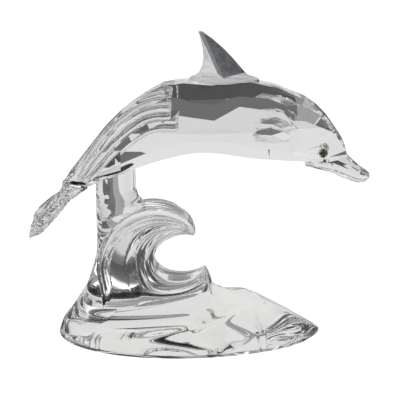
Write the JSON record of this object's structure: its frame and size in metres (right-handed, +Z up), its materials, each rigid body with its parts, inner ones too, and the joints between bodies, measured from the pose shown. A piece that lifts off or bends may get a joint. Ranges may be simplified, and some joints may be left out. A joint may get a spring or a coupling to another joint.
{
  "type": "dolphin figurine",
  "caption": "Leaping dolphin of faceted clear crystal, glued on a column that rises from a curling wave and an oval pool of clear glass.",
  "frame": {"origin": "on the flat underside of the base, under the middle of the figurine's length, in its plane of symmetry", "axes": "+X the way the dolphin leaps, +Y to the dolphin's left, +Z up"},
  "size_m": [0.1392, 0.0652, 0.1276],
  "materials": {
    "cut_crystal": "cut and polished, clear",
    "cast_glass": "cast and fire-polished, clear",
    "eye_stone": "faceted, polished, nearly black"
  },
  "bodies": {
    "root": {"wave_base": "cast_glass", "dolphin_body": "cut_crystal", "beak": "cut_crystal", "dorsal_fin": "cut_crystal", "tail_flukes": "cut_crystal", "pectoral_fin_left": "cut_crystal", "pectoral_fin_right": "cut_crystal", "eye_left": "eye_stone", "eye_right": "eye_stone"}
  },
  "joints": []
}
